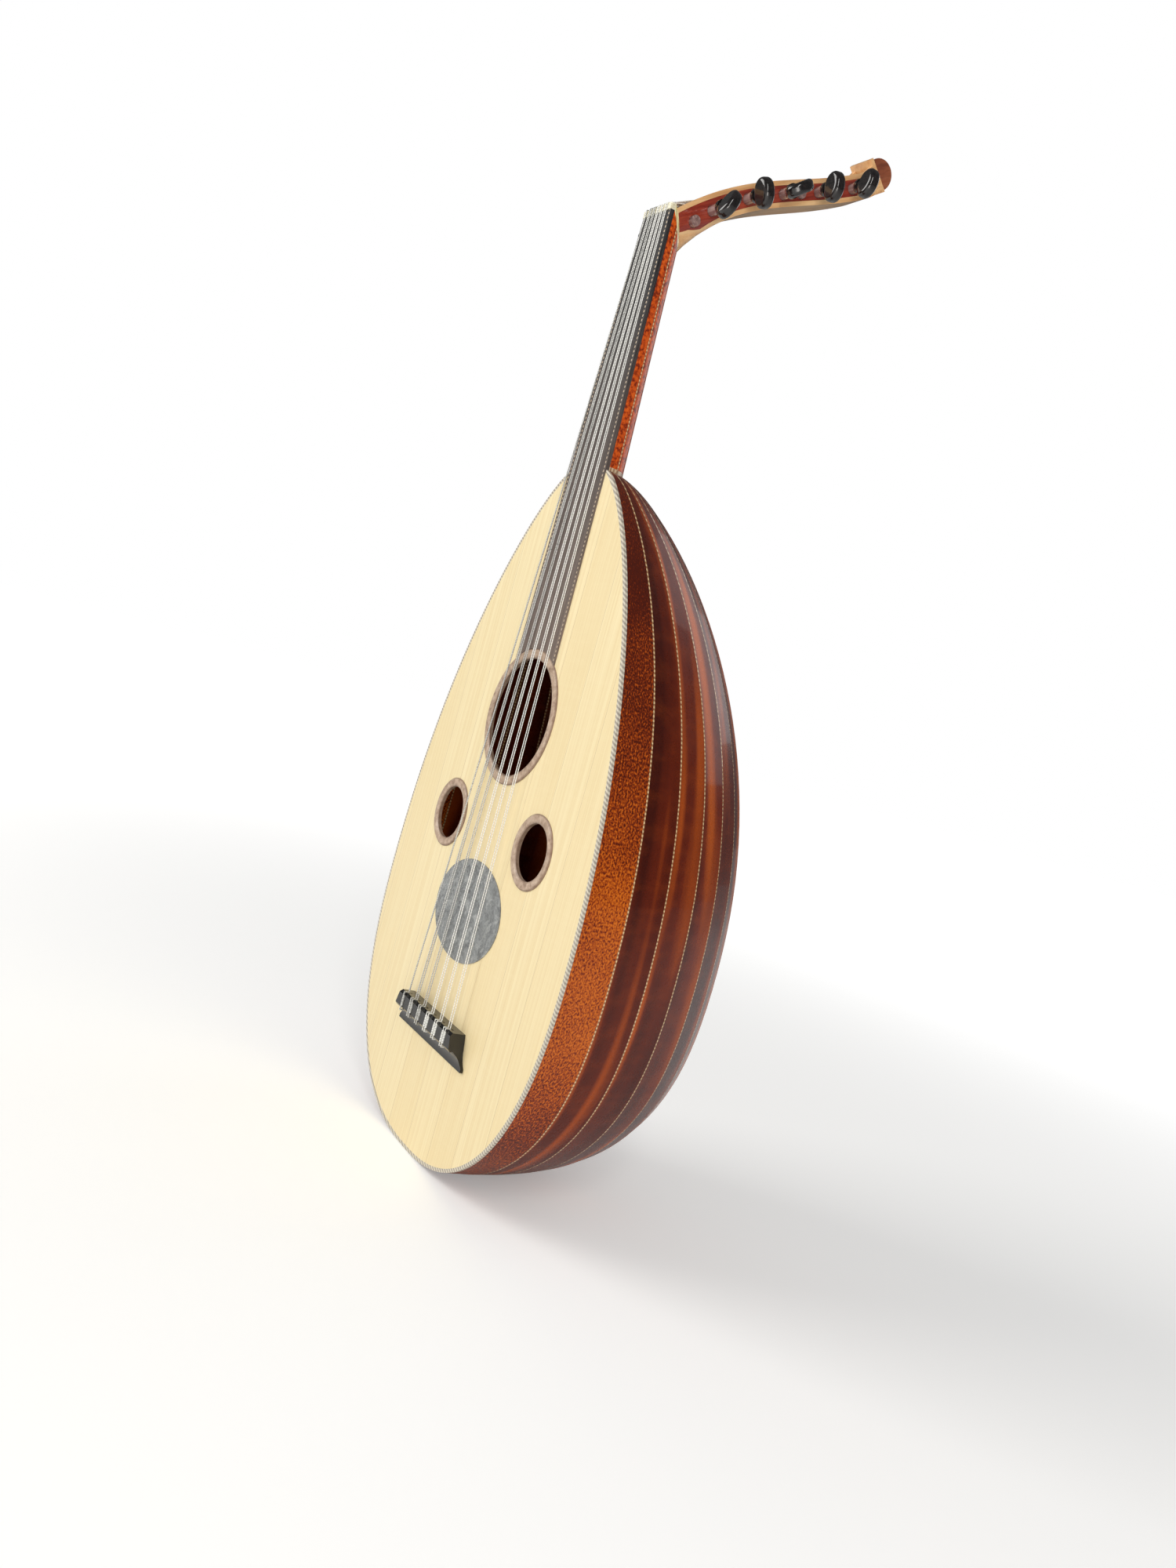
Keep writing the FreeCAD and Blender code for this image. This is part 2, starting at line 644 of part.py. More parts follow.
def make_peg(name, side, s, t, number):
    """A tuning peg: a straight shaft through both cheeks and a flattened oval head."""
    outer = side_half(s)
    reach = outer + PEG_REACH - PEG_REACH_STEP * number
    head_start = reach - PEG_HEAD_LENGTH / 2
    shaft = rod(-outer - PEG_END_STANDS_OUT, head_start + 2, s, t, PEG_RADIUS)
    neck = Part.makeCone(PEG_RADIUS, PEG_COLLAR_RADIUS, 3.0, Vector(head_start - 4, s, t), Vector(1, 0, 0))
    collar = rod(head_start - 1, head_start + 1.2, s, t, PEG_COLLAR_RADIUS)
    centre = Vector(reach, s, t - PEG_HEAD_THICKNESS / 2)
    tall, long = PEG_HEAD_WIDTH / 2, PEG_HEAD_LENGTH / 2
    oval = Part.Ellipse(centre + Vector(0, tall, 0), centre + Vector(-long, 0, 0), centre)
    head = Part.Face(Part.Wire([oval.toShape()])).extrude(Vector(0, 0, PEG_HEAD_THICKNESS))
    rims = [e for e in head.Edges if e.BoundBox.ZLength < 0.01]
    head = head.makeFillet(PEG_HEAD_THICKNESS * 0.36, rims)
    peg = shaft.fuse([neck, collar, head])
    turns = TREBLE_PEG_TURNS if side > 0 else BASS_PEG_TURNS
    peg.rotate(Vector(0, s, t), Vector(1, 0, 0), turns[number])
    if side < 0:
        peg.rotate(Vector(0, s, t), Vector(0, 0, 1), 180)
    save_local(name, peg)


# ---------------------------------------------------------------- bridge and strings

def string_list():
    """Each string as (course, number, x at the bridge, x at the nut, radius)."""
    rows = []
    for course in range(6):
        share = course / 5 - 0.5
        pair = (0,) if course == 0 else (-0.5, 0.5)
        for half in pair:
            at_bridge = share * COURSE_SPAN_BRIDGE + half * PAIR_GAP_BRIDGE
            at_nut = share * COURSE_SPAN_NUT + half * PAIR_GAP_NUT
            rows.append((course, len(rows), at_bridge, at_nut, STRING_RADII[course]))
    return rows


def make_bridge():
    front, back = BRIDGE_FRONT_Z, BRIDGE_BACK_Z
    block = front - BRIDGE_BLOCK_DEPTH
    top = -BRIDGE_HEIGHT
    hollow = Part.Arc(Vector(0, -BRIDGE_BASE_HEIGHT, back), Vector(0, -BRIDGE_BASE_HEIGHT - 1.2, mix(back, block, 0.6)),
                      Vector(0, top * 0.72, block)).toShape()
    corners = [Vector(0, top * 0.72, block), Vector(0, top + 1.5, block - 0.6), Vector(0, top, block + 1),
               Vector(0, top, front - 2), Vector(0, top + 2, front), Vector(0, 0, front),
               Vector(0, 0, back), Vector(0, -BRIDGE_BASE_HEIGHT, back)]
    section = Part.Face(Part.Wire([hollow] + Part.makePolygon(corners).Edges))
    length = BRIDGE_HALF_LENGTH
    bar = section.extrude(Vector(2 * length, 0, 0)).translated(Vector(-length, 0, 0))
    half = BRIDGE_BLOCK_HALF
    tip = back + 2.5
    plan = []
    for side in (1, -1):
        start = Vector(side * length, 0, tip)
        bend = Vector(side * mix(half, length, 0.28), 0, mix(tip, block, 0.62))
        plan.append(Part.Arc(start, bend, Vector(side * half, 0, block + 2)).toShape())
        plan.append(Part.makeLine(Vector(side * half, 0, block + 2), Vector(side * (half - 3), 0, front)))
        plan.append(Part.makeLine(Vector(side * length, 0, back), start))
    plan.append(Part.makeLine(Vector(-length, 0, back), Vector(length, 0, back)))
    plan.append(Part.makeLine(Vector(3 - half, 0, front), Vector(half - 3, 0, front)))
    foot = Part.Face(Part.Wire(Part.__sortEdges__(plan))).extrude(Vector(0, -BRIDGE_HEIGHT, 0))
    bridge = bar.common(foot)
    for _, _, x, _, _ in string_list():
        start = Vector(x, -TIE_HOLE_RISE, block - 8)
        bridge = bridge.cut(Part.makeCylinder(TIE_HOLE_RADIUS, BRIDGE_BLOCK_DEPTH + 10, start, Vector(0, 0, 1)))
    save("bridge", bridge)


def tube(points, radius):
    """A round string along straight runs, with a ball in each bend."""
    pieces = []
    for a, b in zip(points, points[1:]):
        pieces.append(Part.makeCylinder(radius, (b - a).Length, a, b - a))
    balls = [Part.makeSphere(radius + BEND_SWELL, p) for p in points[1:-1]]
    return pieces[0].fuse(pieces[1:] + balls)


def peg_for_string(number):
    """Bass strings go to the bass pegs and the rest, from the outside in, to the treble pegs."""
    rows = all_pegs()
    if number < BASS_PEGS:
        return rows[number]
    return rows[BASS_PEGS + (BASS_PEGS + TREBLE_PEGS - 1 - number)]


def taut_over(start, rests):
    """The points that a taut string touches on its way to the furthest of them."""
    touched = []
    while rests:
        touched.append(max(rests, key=lambda point: (point.z - start.z) / (point.y - start.y)))
        start = touched[-1]
        rests = [point for point in rests if point.y > start.y]
    return touched


def string_route(number, x_bridge, x_nut, radius):
    lift = radius + STRING_GAP
    block = BRIDGE_FRONT_Z - BRIDGE_BLOCK_DEPTH
    over = -BRIDGE_HEIGHT - lift
    behind, ahead = block - 0.6 - lift, BRIDGE_FRONT_Z + lift
    route = [Vector(x_bridge, -TIE_HOLE_RISE, behind), Vector(x_bridge, over, behind),
             Vector(x_bridge, over, ahead), Vector(x_bridge, -STRING_RISE_BRIDGE, ahead)]
    on_nut = -NUT_RISE - lift
    route.append(Vector(x_nut, on_nut, NUT_Z))
    route.append(Vector(x_nut, on_nut, NECK_TOP_Z))
    _, _, end, _, _ = peg_for_string(number)
    rests = [Vector(x_nut, lift, lift)]
    for _, _, s, t, _ in all_pegs():
        if s <= end:
            x = x_nut * mix(1.0, STRING_FAN, min(1.0, s / STRING_FAN_RUN))
            rests.append(Vector(x, s, t + PEG_RADIUS + lift))
    start = PEGBOX_PLACE.inverse().multVec(route[-1])
    return route + [PEGBOX_PLACE.multVec(point) for point in taut_over(start, rests)]


def make_strings():
    courses = {}
    for course, number, x_bridge, x_nut, radius in string_list():
        string = tube(string_route(number, x_bridge, x_nut, radius), radius)
        courses.setdefault(course, []).append(string)
    for course, strings in courses.items():
        save("strings_course_%d" % (course + 1), Part.makeCompound(strings))


os.makedirs("parts", exist_ok=True)
make_bowl()
make_end_clasp()
make_blocks()
make_soundboard()
make_rings()
make_pickguard()
make_braces()
make_neck()
make_fingerboard()
make_nut()
make_pegbox()
make_finial()
for row in all_pegs():
    make_peg(*row)
make_bridge()
make_strings()
print("nodes", len(os.listdir("parts")))
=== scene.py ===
# %% [markdown]
# # An oud on its tail
# The oud comes from its CAD model as separate nodes: ribs, soundboard, neck, pegbox, pegs and strings.
# Here they get the lacquered woods, the twisted inlays and the strings that the real one has,
# and the small things that CAD leaves out: the string windings on the pegs and the knots on the bridge.

# %% Load the CAD model as the frame
import json
import math

import bpy
from mathutils import Matrix, Vector


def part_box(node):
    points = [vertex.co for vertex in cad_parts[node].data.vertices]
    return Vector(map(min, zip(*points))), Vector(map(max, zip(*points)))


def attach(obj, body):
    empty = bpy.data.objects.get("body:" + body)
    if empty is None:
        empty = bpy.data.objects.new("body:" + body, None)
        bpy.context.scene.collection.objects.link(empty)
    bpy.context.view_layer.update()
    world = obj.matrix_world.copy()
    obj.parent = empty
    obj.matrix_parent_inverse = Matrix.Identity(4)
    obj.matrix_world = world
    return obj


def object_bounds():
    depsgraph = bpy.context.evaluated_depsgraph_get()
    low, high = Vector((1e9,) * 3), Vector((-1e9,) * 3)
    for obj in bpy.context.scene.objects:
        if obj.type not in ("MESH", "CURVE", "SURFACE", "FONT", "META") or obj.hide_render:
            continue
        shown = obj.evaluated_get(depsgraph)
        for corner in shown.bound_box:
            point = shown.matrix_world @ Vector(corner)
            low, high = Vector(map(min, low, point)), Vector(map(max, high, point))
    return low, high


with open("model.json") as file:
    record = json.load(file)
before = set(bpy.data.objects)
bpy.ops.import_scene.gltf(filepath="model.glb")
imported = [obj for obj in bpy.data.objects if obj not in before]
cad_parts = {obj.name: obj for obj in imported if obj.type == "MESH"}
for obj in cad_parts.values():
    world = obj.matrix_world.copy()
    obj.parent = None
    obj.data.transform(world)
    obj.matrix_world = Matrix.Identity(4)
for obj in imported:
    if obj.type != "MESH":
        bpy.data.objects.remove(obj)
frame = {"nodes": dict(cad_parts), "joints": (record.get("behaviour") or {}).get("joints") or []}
cad_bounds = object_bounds()
nodes = frame["nodes"]
ROOT = "instrument"
print(len(nodes), "nodes,", [round(v, 3) for v in cad_bounds[1] - cad_bounds[0]], "m overall")

# %% [markdown]
# The camera comes first, because it says which surfaces are seen closest.
# It stands at the treble side, a little in front, and is turned so that the oud leans as it does
# when it is put on a stand.

# %% Camera
SENSOR = 36.0
LENS = 30.097
CAMERA_AT = Vector((0.83198, -0.43789, 0.34120))
CAMERA_RIGHT = Vector((0.380856, 0.887166, 0.260548))
CAMERA_UP = Vector((-0.163206, -0.212860, 0.963356))
CAMERA_SHIFT = (0.1033, -0.0188)

camera_data = bpy.data.cameras.new("camera")
camera_data.sensor_width = SENSOR
camera_data.lens = LENS
camera_data.shift_x, camera_data.shift_y = CAMERA_SHIFT
camera = bpy.data.objects.new("camera", camera_data)
bpy.context.scene.collection.objects.link(camera)
turn = Matrix((CAMERA_RIGHT, CAMERA_UP, CAMERA_RIGHT.cross(CAMERA_UP))).transposed()
camera.matrix_world = Matrix.Translation(CAMERA_AT) @ turn.to_4x4()
bpy.context.scene.camera = camera
bpy.context.scene.view_settings.view_transform = "Standard"
print("camera at", [round(v, 2) for v in camera.location])

# %% [markdown]
# A plain pale floor and a world of the same tone stand in for a studio's paper sweep.
# The light is soft: one large lamp in front lights the soundboard, a narrow one on the treble side
# draws long reflections on the ribs, a low one fills in below it, and one behind keeps the far side
# of the bowl readable. World and floor look brighter to the camera than they shine on the oud, so
# that the lacquer stays deep in tone.

# %% Floor, world and lights
FLOOR_SIZE = 30.0
FLOOR_GAP = 0.0002
FLOOR_ROUGHNESS = 0.9
FLOOR_TONE = (0.9, 0.9, 0.89, 1.0)
FLOOR_GLOW = (0.4, 2.6, 0.26, 0.72)     # 0.26 within 0.4 m of the oud, rising to 0.72 at 2.6 m
WORLD_SHINE = 0.34
WORLD_IN_GLOSS = 0.1
WORLD_SEEN = 1.0
LAMPS = (
    ("key lamp", (-0.9, -2.1, 1.5), (1.6, 1.6), 38.0, (1.0, 0.985, 0.96)),
    ("side lamp", (2.0, -0.9, 1.5), (0.35, 1.6), 15.0, (1.0, 0.98, 0.95)),
    ("low lamp", (1.8, -0.7, 0.25), (0.9, 0.5), 7.0, (1.0, 0.95, 0.9)),
    ("back lamp", (-0.6, 2.3, 1.5), (1.4, 1.4), 6.0, (0.97, 0.98, 1.0)),
)


def deselect_all():
    if bpy.context.object and bpy.context.object.mode != "OBJECT":
        bpy.ops.object.mode_set(mode="OBJECT")
    bpy.ops.object.select_all(action="DESELECT")


deselect_all()
bpy.ops.mesh.primitive_plane_add(size=FLOOR_SIZE, location=(0, 0, cad_bounds[0].z - FLOOR_GAP))
floor = bpy.context.object
floor.name = "floor"
paper = bpy.data.materials.new("paper")
paper.use_nodes = True
paper_shader = paper.node_tree.nodes["Principled BSDF"]
paper_shader.inputs["Base Color"].default_value = FLOOR_TONE
paper_shader.inputs["Roughness"].default_value = FLOOR_ROUGHNESS
floor_place = paper.node_tree.nodes.new("ShaderNodeTexCoord")
floor_reach = paper.node_tree.nodes.new("ShaderNodeVectorMath")
floor_reach.operation = "LENGTH"
floor_glow = paper.node_tree.nodes.new("ShaderNodeMapRange")
floor_glow.interpolation_type = "SMOOTHSTEP"
for socket, value in zip(("From Min", "From Max", "To Min", "To Max"), FLOOR_GLOW):
    floor_glow.inputs[socket].default_value = value
paper.node_tree.links.new(floor_place.outputs["Object"], floor_reach.inputs[0])
paper.node_tree.links.new(floor_reach.outputs["Value"], floor_glow.inputs["Value"])
paper.node_tree.links.new(floor_glow.outputs[0], paper_shader.inputs["Emission Color"])
floor_path = paper.node_tree.nodes.new("ShaderNodeLightPath")
paper.node_tree.links.new(floor_path.outputs["Is Camera Ray"], paper_shader.inputs["Emission Strength"])
floor.data.materials.append(paper)

world = bpy.data.worlds.new("studio")
world.use_nodes = True
sky = world.node_tree
shine = sky.nodes["Background"]
shine.inputs["Color"].default_value = (1.0, 1.0, 1.0, 1.0)
shine.inputs["Strength"].default_value = WORLD_SHINE
seen = sky.nodes.new("ShaderNodeBackground")
seen.inputs["Color"].default_value = (1.0, 1.0, 1.0, 1.0)
seen.inputs["Strength"].default_value = WORLD_SEEN
in_gloss = sky.nodes.new("ShaderNodeBackground")
in_gloss.inputs["Color"].default_value = (1.0, 1.0, 1.0, 1.0)
in_gloss.inputs["Strength"].default_value = WORLD_IN_GLOSS
path = sky.nodes.new("ShaderNodeLightPath")
lit = sky.nodes.new("ShaderNodeMixShader")
sky.links.new(path.outputs["Is Glossy Ray"], lit.inputs[0])
sky.links.new(shine.outputs[0], lit.inputs[1])
sky.links.new(in_gloss.outputs[0], lit.inputs[2])
which = sky.nodes.new("ShaderNodeMixShader")
sky.links.new(path.outputs["Is Camera Ray"], which.inputs[0])
sky.links.new(lit.outputs[0], which.inputs[1])
sky.links.new(seen.outputs[0], which.inputs[2])
sky.links.new(which.outputs[0], sky.nodes["World Output"].inputs["Surface"])
bpy.context.scene.world = world

AIM = Vector((0.0, 0.05, 0.38))
for name, place, size, power, tint in LAMPS:
    light = bpy.data.lights.new(name, "AREA")
    light.shape = "RECTANGLE"
    light.size, light.size_y = size
    light.energy = power
    light.color = tint
    lamp = bpy.data.objects.new(name, light)
    bpy.context.scene.collection.objects.link(lamp)
    lamp.location = place
    lamp.rotation_euler = (AIM - lamp.location).to_track_quat("-Z", "Y").to_euler()
print(len(LAMPS), "lamps")

# %% [markdown]
# Every finish is a small tree of nodes. A few helpers keep those trees short: they add a node and
# wire its inputs, make a ramp from a list of colours, mix two colours, do a sum, and start a node
# group or put one in a tree.
# Colours are given as they look on a screen, 0 to 255, and turned into the linear ones of a shader.

# %% Helpers for materials
def tone(red, green, blue):
    linear = [((c / 255 + 0.055) / 1.055) ** 2.4 if c > 10 else c / 255 / 12.92 for c in (red, green, blue)]
    return (*linear, 1.0)


def add(tree, kind, inputs=None, **settings):
    made = tree.nodes.new(kind)
    for name, value in settings.items():
        setattr(made, name, value)
    for key, value in (inputs or {}).items():
        if isinstance(value, bpy.types.NodeSocket):
            tree.links.new(value, made.inputs[key])
        else:
            made.inputs[key].default_value = value
    return made


def ramp(tree, factor, stops, ease="LINEAR"):
    made = add(tree, "ShaderNodeValToRGB", {"Fac": factor})
    made.color_ramp.interpolation = ease
    elements = made.color_ramp.elements
    while len(elements) < len(stops):
        elements.new(0.5)
    for element, (place, colour) in zip(elements, stops):
        element.position = place
        element.color = colour
    return made.outputs["Color"]


def mix(tree, share, first, second, blend="MIX"):
    made = add(tree, "ShaderNodeMix", data_type="RGBA", blend_type=blend)
    for socket, value in ((0, share), (6, first), (7, second)):
        if isinstance(value, bpy.types.NodeSocket):
            tree.links.new(value, made.inputs[socket])
        else:
            made.inputs[socket].default_value = value
    return made.outputs[2]


def sum_up(tree, operation, first, second=0.0):
    return add(tree, "ShaderNodeMath", {0: first, 1: second}, operation=operation).outputs[0]


def spread(tree, value, low, high, to_low, to_high):
    return add(tree, "ShaderNodeMapRange", {0: value, 1: low, 2: high, 3: to_low, 4: to_high}).outputs[0]


def start_group(name, inputs, outputs):
    tree = bpy.data.node_groups.new(name, "ShaderNodeTree")
    for label, kind in inputs:
        tree.interface.new_socket(label, in_out="INPUT", socket_type="NodeSocket" + kind)
    for label, kind in outputs:
        tree.interface.new_socket(label, in_out="OUTPUT", socket_type="NodeSocket" + kind)
    return tree, tree.nodes.new("NodeGroupInput"), tree.nodes.new("NodeGroupOutput")


def use_group(tree, group, inputs):
    made = tree.nodes.new("ShaderNodeGroup")
    made.node_tree = group
    for key, value in inputs.items():
        if isinstance(value, bpy.types.NodeSocket):
            tree.links.new(value, made.inputs[key])
        else:
            made.inputs[key].default_value = value
    return made.outputs


# %% [markdown]
# Wood is the same few things at different sizes: fibres along the grain, short dark pores, and a
# slow change of tone from board to board. The *grain* group makes all three from a place and from
# how many of them fit in a metre each way, so that each wood sets only its own numbers.

# %% Node group: grain
grain, entry, leave = start_group(
    "grain", (("Place", "Vector"), ("Per metre", "Vector")),
    (("Fibres", "Float"), ("Pores", "Float"), ("Board", "Float")))
scaled = add(grain, "ShaderNodeVectorMath", {0: entry.outputs["Place"], 1: entry.outputs["Per metre"]},
             operation="MULTIPLY").outputs[0]
fibres = add(grain, "ShaderNodeTexNoise", {"Vector": scaled, "Scale": 1.0, "Detail": 6.0, "Roughness": 0.62})
finer = add(grain, "ShaderNodeVectorMath", {0: scaled, 1: (3.1, 3.1, 2.3)}, operation="MULTIPLY").outputs[0]
pores = add(grain, "ShaderNodeTexNoise", {"Vector": finer, "Scale": 1.0, "Detail": 2.0, "Roughness": 0.5})
slower = add(grain, "ShaderNodeVectorMath", {0: scaled, 1: (0.13, 0.13, 0.4)},
             operation="MULTIPLY").outputs[0]
board = add(grain, "ShaderNodeTexNoise", {"Vector": slower, "Scale": 1.0, "Detail": 1.0})
grain.links.new(fibres.outputs["Fac"], leave.inputs["Fibres"])
grain.links.new(spread(grain, pores.outputs["Fac"], 0.58, 0.72, 0.0, 1.0), leave.inputs["Pores"])
grain.links.new(board.outputs["Fac"], leave.inputs["Board"])
print("group", grain.name)

# %% [markdown]
# A rib runs round the bowl like a slice of melon, and its figure runs with it. The *round the bowl*
# group turns a place into how far round the bowl it is, and how high, so that streaks follow a rib
# in place of cutting across it.

# %% Node group: round the bowl
BOWL_RADIUS = 0.15

round_bowl, entry, leave = start_group(
    "round the bowl", (("Place", "Vector"),), (("Place", "Vector"), ("Angle", "Float")))
parts = add(round_bowl, "ShaderNodeSeparateXYZ", {0: entry.outputs["Place"]})
angle = sum_up(round_bowl, "ARCTAN2", parts.outputs["Y"], parts.outputs["X"])
arc = sum_up(round_bowl, "MULTIPLY", angle, BOWL_RADIUS)
along = add(round_bowl, "ShaderNodeCombineXYZ", {0: arc, 1: 0.0, 2: parts.outputs["Z"]})
round_bowl.links.new(along.outputs[0], leave.inputs["Place"])
round_bowl.links.new(angle, leave.inputs["Angle"])
print("group", round_bowl.name)

# %% [markdown]
# A played instrument is never evenly shiny. The *handling* group is a soft cloud of smudges and a
# few fine scuffs, which each material turns into a change of roughness.

# %% Node group: handling
handling, entry, leave = start_group("handling", (("Place", "Vector"),), (("Smudge", "Float"),))
cloud = add(handling, "ShaderNodeTexNoise", {"Vector": entry.outputs["Place"], "Scale": 38.0, "Detail": 4.0})
scuffs = add(handling, "ShaderNodeTexNoise",
             {"Vector": entry.outputs["Place"], "Scale": 420.0, "Detail": 2.0})
both = sum_up(handling, "MULTIPLY", cloud.outputs["Fac"], scuffs.outputs["Fac"])
handling.links.new(spread(handling, both, 0.1, 0.45, 0.0, 1.0), leave.inputs["Smudge"])
print("group", handling.name)

# %% [markdown]
# The inlays of an oud are twisted or chequered lines: a light wood and a dark one in turn.
# The *twist* group makes the two alternate along a slanted direction, as strands of a rope do.

# %% Node group: twist
twist, entry, leave = start_group(
    "twist", (("Place", "Vector"), ("Slant", "Vector")), (("Strand", "Float"),))
travel = add(twist, "ShaderNodeVectorMath", {0: entry.outputs["Place"], 1: entry.outputs["Slant"]},
             operation="DOT_PRODUCT").outputs["Value"]
wave = sum_up(twist, "SINE", sum_up(twist, "MULTIPLY", travel, 2 * math.pi))
twist.links.new(spread(twist, wave, -0.45, 0.45, 0.0, 1.0), leave.inputs["Strand"])
print("group", twist.name)


# %% [markdown]
# A lacquered wood is a coloured wood under a clear coat. The colour comes from a ramp over the
# fibres, the pores darken it and press a little into it, and the clear coat stays smooth above.

# %% Helper: one lacquered wood
UP = (0.0, 0.0, 0.0)
ACROSS = (0.0, math.radians(90), 0.0)
PEGBOX = (math.radians(59.7), 0.0, 0.0)


def start_material(name, coat=0.0, coat_roughness=0.05, specular=0.5):
    material = bpy.data.materials.new(name)
    material.use_nodes = True
    tree = material.node_tree
    shader = tree.nodes["Principled BSDF"]
    shader.inputs["Coat Weight"].default_value = coat
    shader.inputs["Coat Roughness"].default_value = coat_roughness
    shader.inputs["Specular IOR Level"].default_value = specular
    place = add(tree, "ShaderNodeTexCoord").outputs["Object"]
    return material, tree, shader, place


def lay_on(tree, shader, colour, place, polish, height=None, depth=0.0):
    tree.links.new(colour, shader.inputs["Base Color"])
    smudge = use_group(tree, handling, {"Place": place})["Smudge"]
    tree.links.new(spread(tree, smudge, 0.0, 1.0, polish[0], polish[1]), shader.inputs["Roughness"])
    if height is not None:
        bump = add(tree, "ShaderNodeBump", {"Height": height, "Distance": depth, "Strength": 1.0})
        tree.links.new(bump.outputs[0], shader.inputs["Normal"])


def lacquered_wood(name, stops, per_metre, polish=(0.3, 0.42), coat=1.0, run=UP, pores=0.35,
                   coat_roughness=0.04):
    material, tree, shader, place = start_material(name, coat, coat_roughness)
    turned = add(tree, "ShaderNodeMapping", {"Vector": place, "Rotation": run}).outputs[0]
    wood = use_group(tree, grain, {"Place": turned, "Per metre": per_metre})
    figure = sum_up(tree, "ADD", sum_up(tree, "MULTIPLY", wood["Fibres"], 0.7),
                    sum_up(tree, "MULTIPLY", wood["Board"], 0.3))
    colour = ramp(tree, figure, stops)
    dark = mix(tree, sum_up(tree, "MULTIPLY", wood["Pores"], pores), colour, stops[0][1])
    lay_on(tree, shader, dark, place, polish, wood["Fibres"], 0.00002)
    return material


# %% [markdown]
# **Bowl ribs.** The ribs are thin staves of a dark red-brown wood, bent over a mould and lacquered
# to a mirror. Long soft flames run down each rib and a faint ribbon crosses it. The ribs are cut in
# turn from three slightly different boards, so three tones of the one finish are made.

# %% Rib woods
def rib_wood(name, stops, shift):
    material, tree, shader, place = start_material(name, 0.26, 0.05, 0.2)
    around = use_group(tree, round_bowl, {"Place": place})
    moved = add(tree, "ShaderNodeMapping",
                {"Vector": around["Place"], "Location": (shift, 0.0, shift)}).outputs[0]
    flames = add(tree, "ShaderNodeTexNoise", {"Vector": add(
        tree, "ShaderNodeMapping", {"Vector": moved, "Scale": (52.0, 1.0, 4.0)}).outputs[0],
        "Scale": 1.0, "Detail": 1.5, "Roughness": 0.35}).outputs["Fac"]
    ribbon = add(tree, "ShaderNodeTexNoise", {"Vector": add(
        tree, "ShaderNodeMapping", {"Vector": moved, "Scale": (40.0, 1.0, 90.0)}).outputs[0],
        "Scale": 1.0, "Detail": 3.0}).outputs["Fac"]
    fine = use_group(tree, grain, {"Place": moved, "Per metre": (420.0, 1.0, 12.0)})
    colour = ramp(tree, flames, stops)
    crossed = mix(tree, spread(tree, ribbon, 0.45, 0.7, 0.0, 0.12), colour, stops[-1][1])
    pored = mix(tree, sum_up(tree, "MULTIPLY", fine["Pores"], 0.14), crossed, stops[0][1])
    lay_on(tree, shader, pored, place, (0.24, 0.36), fine["Fibres"], 0.00002)
    return material


RIB_TONES = (
    ((0.34, tone(74, 19, 5)), (0.53, tone(108, 34, 8)), (0.67, tone(190, 86, 18))),
    ((0.34, tone(80, 21, 6)), (0.53, tone(116, 37, 9)), (0.67, tone(198, 92, 20))),
    ((0.34, tone(68, 17, 5)), (0.53, tone(100, 31, 8)), (0.67, tone(180, 79, 17))),
)
rib_woods = [rib_wood("rib wood %d" % (k + 1), stops, 0.37 * k) for k, stops in enumerate(RIB_TONES)]
print(len(rib_woods), "rib woods")

# %% [markdown]
# ** Edge ribs.** The rib beside the soundboard is a brighter, mottled wood. Its figure is not in
# streaks but in small flecks about a millimetre across, orange with a painted lit band at middle height,
# and browner towards the neck and the tail, partly the wood's own tone and partly painted shade.

# %% Edge rib wood
FLECKS_PER_METRE = 800.0


def mottled_wood(name, stops, tone_and_shade_low, tone_and_shade_high):
    material, tree, shader, place = start_material(name, 0.35, 0.06, 0.2)
    around = use_group(tree, round_bowl, {"Place": place})["Place"]
    flecks = add(tree, "ShaderNodeTexNoise", {"Vector": add(
        tree, "ShaderNodeMapping", {"Vector": around, "Scale": (1.0, 1.0, 0.72)}).outputs[0],
        "Scale": FLECKS_PER_METRE, "Detail": 3.0, "Roughness": 0.6})
    clouds = add(tree, "ShaderNodeTexNoise", {"Vector": place, "Scale": 22.0, "Detail": 2.0})
    height = add(tree, "ShaderNodeSeparateXYZ", {0: place}).outputs["Z"]
    # Lighter at middle height, darker towards the neck and the tail: partly the wood's tone, partly painted
    # light and painted shade.
    tone_and_painted_light = sum_up(tree, "ADD", spread(tree, height, tone_and_shade_low, tone_and_shade_high, 0.05, -0.12),
                  spread(tree, height, 0.03, 0.13, -0.12, 0.0))
    figure = sum_up(tree, "ADD", sum_up(tree, "MULTIPLY", flecks.outputs["Fac"], 0.86),
                    sum_up(tree, "MULTIPLY", clouds.outputs["Fac"], 0.14))
    colour = ramp(tree, sum_up(tree, "ADD", figure, tone_and_painted_light), stops)
    lay_on(tree, shader, colour, place, (0.26, 0.4), flecks.outputs["Fac"], 0.00003)
    return material


EDGE_STOPS = (
    (0.4, tone(80, 22, 5)), (0.47, tone(128, 44, 7)),
    (0.54, tone(180, 78, 10)), (0.62, tone(216, 112, 24)),
)
edge_rib_wood = mottled_wood("edge rib wood", EDGE_STOPS, 0.22, 0.42)
print(edge_rib_wood.name)

# %% [markdown]
# **Soundboard.** The soundboard is pale spruce with straight, close year rings. It is joined from
# narrow strips, each a touch lighter or darker than the next, with a hair line at each joint.

# %% Spruce
STRIP_WIDTH = 0.036
JOINT_SHARE = 0.012
RINGS_PER_METRE = 620.0


